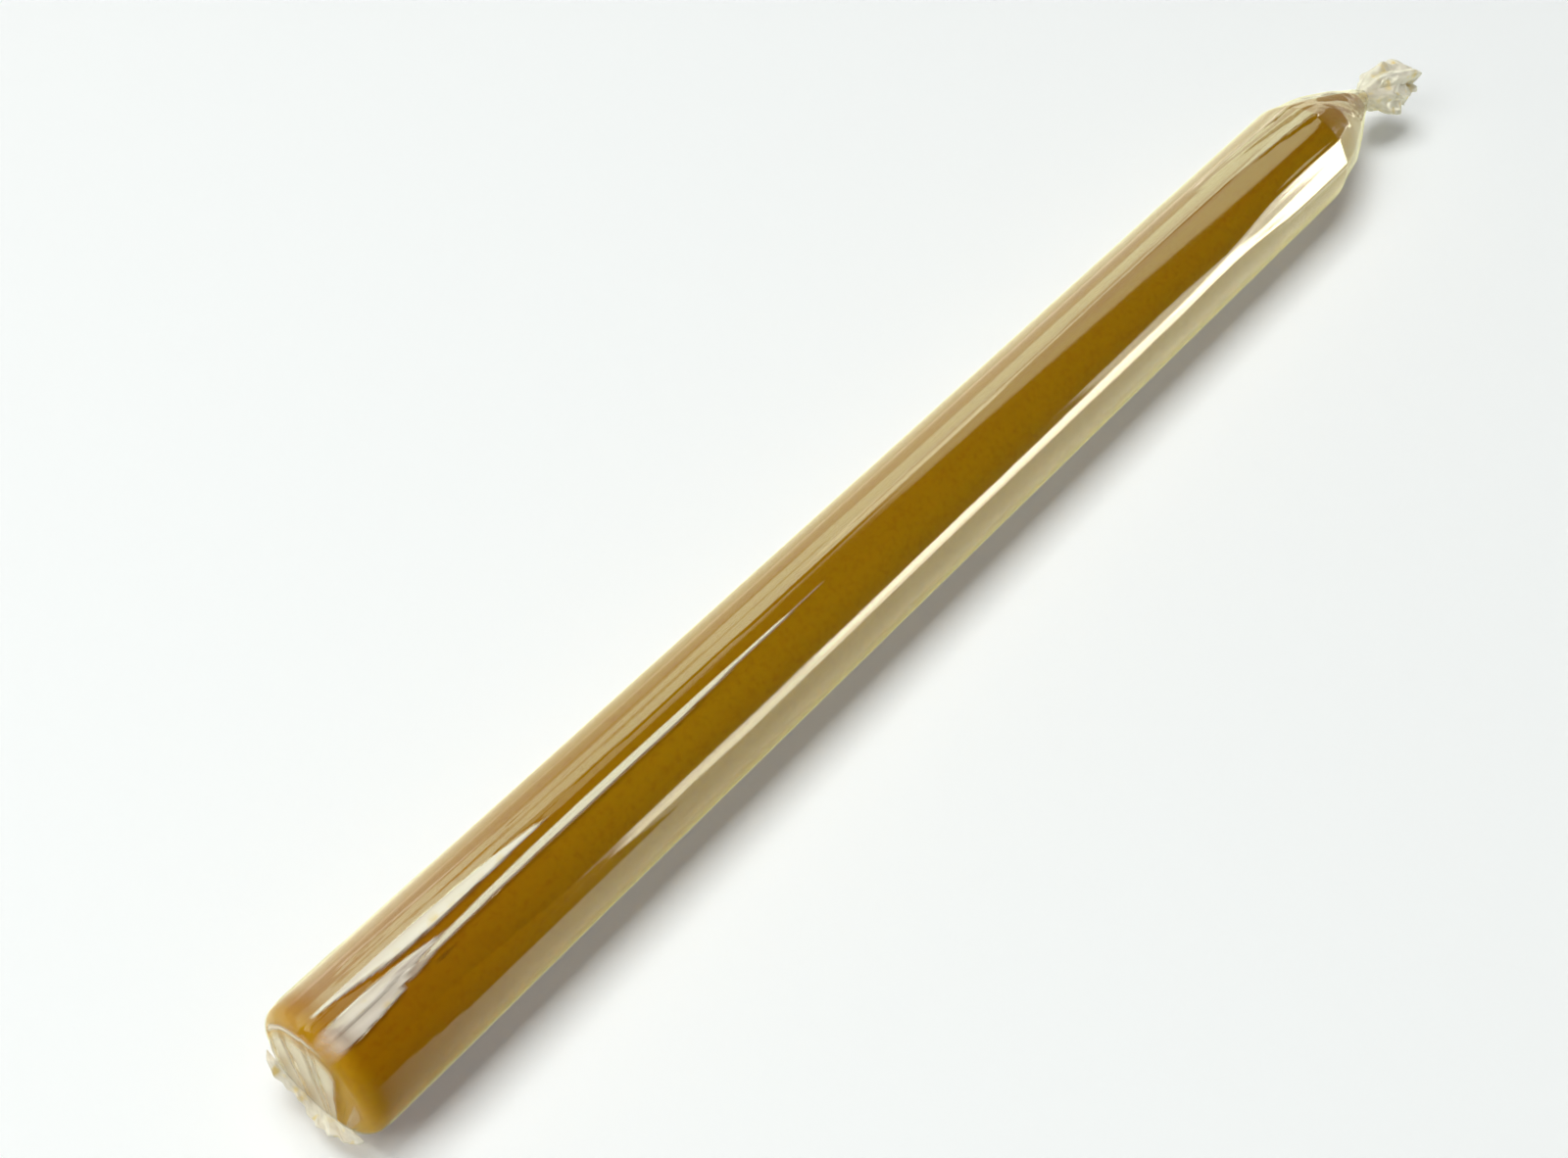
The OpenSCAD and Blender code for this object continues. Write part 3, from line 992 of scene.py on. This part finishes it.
    def wall_x(self, k: Array) -> Array:
        """Distance from the base of the wall's rows, which lie closer near the base."""
        return mix(self.wax.base_edge_r, self.wax.shoulder_c[1], 0.5 * k + 0.9 * k**2 - 0.4 * k**3)

    def wall(self, k: Array, depth: float) -> Array:
        """Along the straight wall, lifted off the wax by its pleats and creases."""
        x = self.wall_x(k)
        return self.circle(x, self.wax.wall_r + self.inset - depth + self.lifts(x))

    def shoulder(self, k: Array, depth: float) -> Array:
        """Round the shoulder, from the wall to the tip's side: an arc outside the wax's own.

        Args:
            k: 0 to 1 along it, a column.
            depth: distance behind the outer skin.

        Returns:
            Its points.
        """
        centre_r, centre_x = self.wax.shoulder_c
        r = self.wax.shoulder_r + self.inset - depth + self.lifts(centre_x)
        turn = self.wax.shoulder_turn * k
        return self.circle(centre_x + r * np.sin(turn), centre_r + r * np.cos(turn))

    def cone(self, k: Array, depth: float) -> Array:
        """The gathered cone, from the shoulder past the end of the wax to the neck.

        Its radius follows the wax and then eases to the neck's. Three broad pleats with a
        slow and a steep side turn round it on their way to the twist, with fine ones and
        crumple over them, and beyond the wax it goes round the wick's line.

        Args:
            k: 0 to 1 along it, a column.
            depth: distance behind the outer skin.

        Returns:
            Its points.
        """
        w = self.wax
        start = w.shoulder_c[1] + (w.shoulder_r + self.inset) * math.sin(w.shoulder_turn) + self.cone_start
        side_end = w.tip_edge_c[1] + (w.tip_edge_r + self.inset) * math.sin(w.tip_edge_turn)
        neck = w.length + self.neck_out
        x = mix(start, neck, k)
        tight = mix(w.side_at(np.minimum(x, side_end), self.inset), self.neck_r, ramp(side_end, neck, x))
        turned = self.t - self.twist_turn * k**1.3
        broad = np.mod(3 * turned / (2 * math.pi) + 0.35 + 0.06 * np.sin(2 * turned), 1)
        slow = self.twist_slow
        broad = np.where(broad < slow, broad / slow, (1 - broad) / (1 - slow))
        fine = (1 + triangle(self.twist_pleats * turned / (2 * math.pi) + 0.6 * np.sin(turned))) / 2
        creased = self.crumple(x, tight * self.t, 2.2)
        folds = sum(share * wave for share, wave in zip(self.twist_folds, (broad, fine, creased)))
        height = self.twist_pleat * ramp(0, 0.35, k) * (1 - 0.8 * ramp(0.55, 1, k)) * folds
        r = tight + height + self.lifts(w.shoulder_c[1]) * (1 - ramp(0, 0.25, k)) - depth
        bent = self.line.round_it(x - w.length, r, self.t)
        return np.where((x < w.length)[..., None], self.circle(x, r), bent)

    def tuft(self, k: Array, depth: float) -> Array:
        """The crumpled loose end, from the neck to its ragged rim.

        Its mean radius swells and closes with a power of the sine of k. Ruffles, triangle
        waves round it and sharp folds across it in several directions give the crumple.

        Args:
            k: 0 to 1 along it, a column.
            depth: distance behind the outer skin.

        Returns:
            Its points.
        """
        turned = self.t - self.twist_turn * (1 + k)
        around = turned / (2 * math.pi)
        swell = mix(self.neck_r, self.tuft_r, np.sin(self.tuft_close * k**0.8) ** 0.8)
        along, across = self.tuft_len * k, swell * self.t
        folds = (triangle(self.twist_pleats * around + k / 2) + 0.5 * triangle(5 * around + 2 * k)
                 + 0.5 * np.cos(3 * turned))
        loose = ramp(0, 0.35, k)
        creased = self.tuft_crumple * (self.crumple(along, across, 1.9) - 0.5)
        ruffle = loose * (self.tuft_ruffle * folds + creased)
        neck = self.neck_pleat * (1 - k) * (1 + triangle(self.twist_pleats * around)) / 2
        ragged = self.tuft_ragged * k * (1 + 0.7 * np.cos(4 * self.t + 0.5) + 0.5 * triangle(9 * around))
        edge = self.tuft_edge * loose * (self.crumple(across, along, 2.3) - 0.5)
        r = swell * (1 + ruffle) + neck - depth
        points = self.line.round_it(self.neck_out + along - ragged + edge, r, self.t)
        points[..., 0] = np.minimum(points[..., 0], self.film_end)
        return points

    def veil(self, stretch: Stretch, k: Array, milk_and_sheen: Array, layers: Array) -> tuple[Array, Array]:
        """How milky the film is and in how many layers it lies, varied over a stretch.

        The fin, the cone and the tuft are milky with their crumple. The fold is cream where it
        is pleated, and clear in the gaps and at its outer edge. The rim has a painted highlight, a
        bright milky ridge on the left, and a milky patch on top. On the wall each pleat has its own
        milkiness, which stands in part for a painted sheen of white reflection, and its own layers,
        and there are fewer layers near the base, more of them low on the left and the fewest
        low on the right, where the film clings to the wax.

        Args:
            stretch: the stretch.
            k: 0 to 1 along it, a column.
            milk_and_sheen: the milkiness before.
            layers: the number of layers before.

        Returns:
            The milkiness and the number of layers, rows by columns.
        """
        low_right = self.by_angle((112, 135, 215, 235), (0, 1, 1, 0))
        if stretch is Stretch.FIN:
            milk_and_sheen = milk_and_sheen * (0.7 + 0.5 * self.crumple(6 * k, 12 * np.cos(self.fold_angle()), 0.9))
        elif stretch is Stretch.FOLD:
            outer = ramp(0.8, 1, k)
            cream = self.by_angle((0, 18, 28, 118, 127, 129, 160, 164, 182, 188, 240, 300, 360),
                                  (0.2, 0.3, 0.44, 0.44, 0.38, 0.0, 0.02, 0.3, 0.3, 0.03, 0.12, 0.2, 0.2))
            milk_and_sheen = milk_and_sheen * cream * mix(0.35, 1.0, self.pleat_height()) * (1 - 0.9 * outer)
            clear = self.by_angle((0, 120, 129, 200, 230, 360), (1.0, 1.0, 0.05, 0.0625, 1 / 3, 1.0))
            layers = layers * clear * (1 - 0.6 * outer)
        elif stretch is Stretch.RIM:
            ridge = self.by_angle((20, 35, 90, 112), (0, 1, 0.8, 0))
            patch = self.by_angle((97, 102, 117, 122), (0, 1, 1, 0))
            grain = 0.4 + 1.2 * self.crumple(3 * k, self.wax.wall_r * self.t, 0.8)
            # painted highlight: a bright milky ridge along the rim's left side
            milk_and_sheen = milk_and_sheen + 0.7 * ridge * np.exp(-(((k - 0.14) / 0.07) ** 2)) + 0.36 * patch * k**1.5 * grain
            layers = (layers + 0.6 * ridge) * (1 - 0.7 * low_right)
        elif stretch is Stretch.WALL:
            x = self.wall_x(k)
            grain = 0.7 + 0.6 * self.crumple(x / 5, self.wax.wall_r * self.t, 1.1)
            # painted sheen: the pleats' milkiness stands in part for white reflection along them
            milk_and_sheen = milk_and_sheen + grain * sum(pleat.milky_sheen(x, self.t) for pleat in self.pleats)
            layers = layers * mix(0.3, 1.0, ramp(0, 8, x)) * (1 - 0.6 * low_right * (1 - ramp(0, 34, x)))
            left = self.by_angle((10, 30, 84, 92), (0, 1, 1, 0))
            layers = layers + 0.9 * left * ramp(2, 7, x) * (1 - ramp(12, 56, x))
            layers = layers + sum((pleat.layers - 1) * pleat.inside(x, self.t) for pleat in self.pleats)
        elif stretch in (Stretch.CONE, Stretch.TUFT):
            milk_and_sheen = milk_and_sheen * (0.5 + self.crumple(25 * k, 5 * self.t, 1.6))
        return np.clip(milk_and_sheen, 0.0, self.milkiest), np.maximum(layers, 0.0)

    def skin(self, depth: float) -> tuple[Array, Array, Array]:
        """All rows of one skin, how milky the film is and in how many layers it lies.

        Both go straight from one end of a stretch to the other, and are then varied over it.

        Args:
            depth: distance of the skin behind the outer one.

        Returns:
            Points, the share of milkiness and the number of layers, rows by columns.
        """
        parts = []
        for stretch, count, milk_ends, layer_ends in (
            (Stretch.FIN, 12, (0.9, 0.7), (2.4, 2.4)),
            (Stretch.FOLD, 26, (1.0, 1.0), (2.4, 2.4)),
            (Stretch.RIM, 8, (0.02, 0.002), (0.22, 0.16)),
            (Stretch.WALL, 110, (0.001, 0.001), (1.15, 2.5)),
            (Stretch.SHOULDER, 4, (0.001, 0.004), (2.5, 2.0)),
            (Stretch.CONE, 36, (0.01, 0.14), (1.2, 2.6)),
            (Stretch.TUFT, 40, (0.60, 0.85), (4.0, 3.0)),
        ):
            whole = stretch in (Stretch.RIM, Stretch.SHOULDER, Stretch.TUFT)
            k = np.linspace(0, 1, count, endpoint=whole)[:, None]
            if stretch is Stretch.WALL:
                k = np.linspace(0, 1, count + 2)[1:-1, None]
            points = getattr(self, stretch.value)(k, depth)
            milk_and_sheen = np.broadcast_to(mix(*milk_ends, k), points.shape[:2])
            layers = np.broadcast_to(mix(*layer_ends, k), points.shape[:2])
            parts.append((points, *self.veil(stretch, k, milk_and_sheen, layers)))
        return tuple(np.concatenate(part) for part in zip(*parts))

    def build(self) -> bpy.types.Object:
        """Make the film from its outer skin and back along the inner one, and dress it.

        Returns:
            The piece.
        """
        outer, milk_and_sheen, layers = self.skin(0.0)
        inner, _, _ = self.skin(self.thickness)
        points = self.sizes.place(np.concatenate([outer, inner[::-1]]))
        # the crumple attribute carries the milkiness, with the wall's painted sheen and the rim's painted
        # highlight
        values = {"crumple": np.concatenate([milk_and_sheen, milk_and_sheen[::-1]]),
                  "layers": np.concatenate([layers, layers[::-1]])}
        piece = grid_object("film_sleeve", points, True, WrappingFilm().material(), values)
        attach(piece, BODY)
        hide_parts("film_wrap")
        return piece


@dataclass(frozen=True)
class PaleFloor:
    """Matt white board with light of its own: near white under the candle, whiter far off, and a warm painted
    glow that gloss alone mirrors.
    """

    board: str = "#F1F5F3"
    # painted glow: warm light that the floor gives off into gloss alone
    mirrored: str = "#FFFFC8"
    mirrored_light: float = 0.6
    seen_light: Pair = (0.16, 0.97)
    seen_m: Pair = (0.3, 2.4)

    def material(self) -> bpy.types.Material:
        """Build the floor's material: matt, with light of its own for the camera and for gloss.

        Returns:
            The material.
        """
        material = bpy.data.materials.new("pale_floor")
        add = empty_tree(material)
        card = add("BsdfDiffuse", {"Color": linear(self.board)})
        path = add("LightPath")
        camera, glossy = path.outputs["Is Camera Ray"], path.outputs["Is Glossy Ray"]
        seen = add("Math", {0: camera, 1: path.outputs["Is Transmission Ray"]}, operation="MAXIMUM")
        away = add("VectorMath", {0: add("TexCoord").outputs["Object"]}, operation="LENGTH")
        light = add("MapRange", {
            "Value": away, "From Min": self.seen_m[0], "From Max": self.seen_m[1],
            "To Min": self.seen_light[0], "To Max": self.seen_light[1]}, interpolation_type="SMOOTHSTEP")
        seen = add("Math", {0: seen, 1: light}, operation="MULTIPLY")
        # painted glow seen only by glossy rays, added to the light for the camera
        strength = add("Math", {0: glossy, 1: self.mirrored_light, 2: seen}, operation="MULTIPLY_ADD")
        tone = add("Mix", {"Factor": glossy, "A": WHITE, "B": linear(self.mirrored)}, data_type="RGBA")
        shine = add("Emission", {"Color": tone, "Strength": strength})
        add("OutputMaterial", {"Surface": add("AddShader", {0: card, 1: shine})})
        return material


@dataclass(frozen=True)
class Lamp:
    """A soft rectangular light, which either lights matt surfaces or is seen in gloss.

    Lengths are in metres. The radiance is how bright its face is, where 1 is white, and it
    can be turned about its own axis, in degrees.
    """

    name: str
    place: Point
    facing: Point
    size: Pair
    radiance: float
    colour: str = "#FFFFF0"
    turn: float = 0.0
    in_gloss: bool = True

    def build(self) -> None:
        """Put the lamp into the scene."""
        data = bpy.data.lights.new(self.name, "AREA")
        data.shape = "RECTANGLE"
        data.size, data.size_y = self.size
        data.energy = self.radiance * math.pi * self.size[0] * self.size[1]
        data.color = linear(self.colour)[:3]
        lamp = bpy.data.objects.new(self.name, data)
        behind = Vector() - Vector(self.facing)
        turned = behind.to_track_quat("Z", "Y").to_matrix() @ Matrix.Rotation(math.radians(self.turn), 3, "Z")
        lamp.matrix_world = Matrix.Translation(self.place) @ turned.to_4x4()
        lamp.visible_camera = False
        lamp.visible_glossy = self.in_gloss
        lamp.visible_diffuse = not self.in_gloss
        bpy.context.scene.collection.objects.link(lamp)


@dataclass
class Studio:
    """Floor, lights and camera. The camera stands as the photograph's did.

    Two lamps light the candle. The others are seen in its gloss alone: bright walls on the
    left, a ceiling in two pieces, and low windows on the right with their glare on the floor.
    """

    sizes: Frame
    image_width_px: float = 1600.0
    focal_px: float = 2170.76
    sensor_mm: float = 36.0
    azimuth: float = math.radians(39.945)
    depression: float = math.radians(46.600)
    roll: float = math.radians(-1.5664)
    camera_from_base: Point = (-72.26, -144.42, 251.41)
    clip_start: float = 0.01
    floor_half: float = 6.0
    horizon: Pair = (0.01, 0.11)
    dark_above: float = 0.008
    lamps: tuple[Lamp, ...] = (
        Lamp("overhead", (0.0, 0.43, 2.2), (0.0, -0.43, -2.2), (1.35, 1.35), 6.2, "#FFFFFF", in_gloss=False),
        Lamp("front", (-0.9, 0.2, 0.9), (0.9, -0.2, -0.9), (0.6, 0.6), 4.4, "#FFFFFF", in_gloss=False),
        Lamp("left_wall_low", (0.9, 1.0, 0.30), (0, -1, 0), (4.4, 0.56), 1.1, "#FFFFEB"),
        Lamp("left_wall_high", (0.9, 1.0, 1.13), (0, -1, 0), (4.4, 1.10), 2.2, "#F0FFE8"),
        Lamp("ceiling_near", (0.0, 0.80, 1.95), (0, 0, -1), (2.6, 0.40), 1.0, "#F8FFD2"),
        Lamp("ceiling_far", (2.04, 0.52, 1.94), (0, 0, -1), (2.2, 1.0), 1.02, "#F8FFDC", -47),
        Lamp("near_window", (0.18, -0.5, 0.028), (0, 1, 0), (0.12, 0.054), 3.5),
        Lamp("far_window", (0.82, -0.5, 0.028), (0, 1, 0), (1.16, 0.054), 6.0),
        Lamp("tip_window", (0.93, -0.5, 0.12), (0, 1, 0), (0.94, 0.12), 2.0),
        Lamp("near_glare", (0.04, -0.285, 0.002), (0, 0, 1), (0.16, 0.43), 3.4),
        Lamp("far_glare", (0.61, -0.285, 0.002), (0, 0, 1), (0.98, 0.43), 5.0),
    )

    def floor(self) -> None:
        """A plain pale floor, wide enough to fill every view."""
        half = self.floor_half
        mesh = bpy.data.meshes.new("floor")
        mesh.from_pydata([(-half, -half, 0), (half, -half, 0), (half, half, 0), (-half, half, 0)], [],
                         [(0, 1, 2, 3)])
        mesh.materials.append(PaleFloor().material())
        floor = bpy.data.objects.new("floor", mesh)
        bpy.context.scene.collection.objects.link(floor)

    def world(self) -> None:
        """Surroundings: white round the horizon, dark overhead, so that gloss has both to show."""
        world = bpy.data.worlds.new("surroundings")
        bpy.context.scene.world = world
        add = empty_tree(world)
        direction = add("TexCoord").outputs["Generated"]
        split = add("SeparateXYZ", {"Vector": direction})
        height = add("MapRange", {
            "Value": split.outputs["Z"], "From Min": self.horizon[0], "From Max": self.horizon[1],
            "To Min": 1.0, "To Max": self.dark_above}, interpolation_type="SMOOTHSTEP")
        background = add("Background", {"Color": WHITE, "Strength": height})
        add("OutputWorld", {"Surface": background})

    def camera(self) -> None:
        """The camera of the photograph, from its fitted direction, roll, distance and focal length."""
        data = bpy.data.cameras.new("camera")
        data.sensor_width = self.sensor_mm
        data.lens = self.sensor_mm * self.focal_px / self.image_width_px
        data.clip_start = self.clip_start
        ahead = Vector((math.cos(self.depression) * math.cos(self.azimuth),
                        math.cos(self.depression) * math.sin(self.azimuth), -math.sin(self.depression)))
        level = ahead.cross(Vector((0, 0, 1))).normalized()
        above = level.cross(ahead)
        right = level * math.cos(self.roll) + above * math.sin(self.roll)
        up = above * math.cos(self.roll) - level * math.sin(self.roll)
        place = self.sizes.place(np.array(self.camera_from_base)) * MM
        camera = bpy.data.objects.new("camera", data)
        turn = Matrix((right, up, -ahead)).transposed().to_4x4()
        camera.matrix_world = Matrix.Translation(Vector(place)) @ turn
        bpy.context.scene.collection.objects.link(camera)
        bpy.context.scene.camera = camera

    def build(self) -> None:
        """Set up the floor, the lights, the surroundings and the camera."""
        self.camera()
        self.floor()
        for lamp in self.lamps:
            lamp.build()
        self.world()
        bpy.context.scene.view_settings.view_transform = "Standard"


def main() -> None:
    """Build the candle's pieces and the studio, and report each."""
    logging.basicConfig(level=logging.INFO, format="%(name)s: %(message)s")
    sizes = Frame()
    Studio(sizes).build()
    wax = WaxBody(sizes)
    line = WickLine(sizes.wax_len)
    for builder in (wax, Wick(sizes, line), FilmSleeve(sizes, wax.shape(), line)):
        piece = builder.build()
        log.info("%s: %d faces", piece.name, len(piece.data.polygons))


if __name__ == "__main__":
    main()
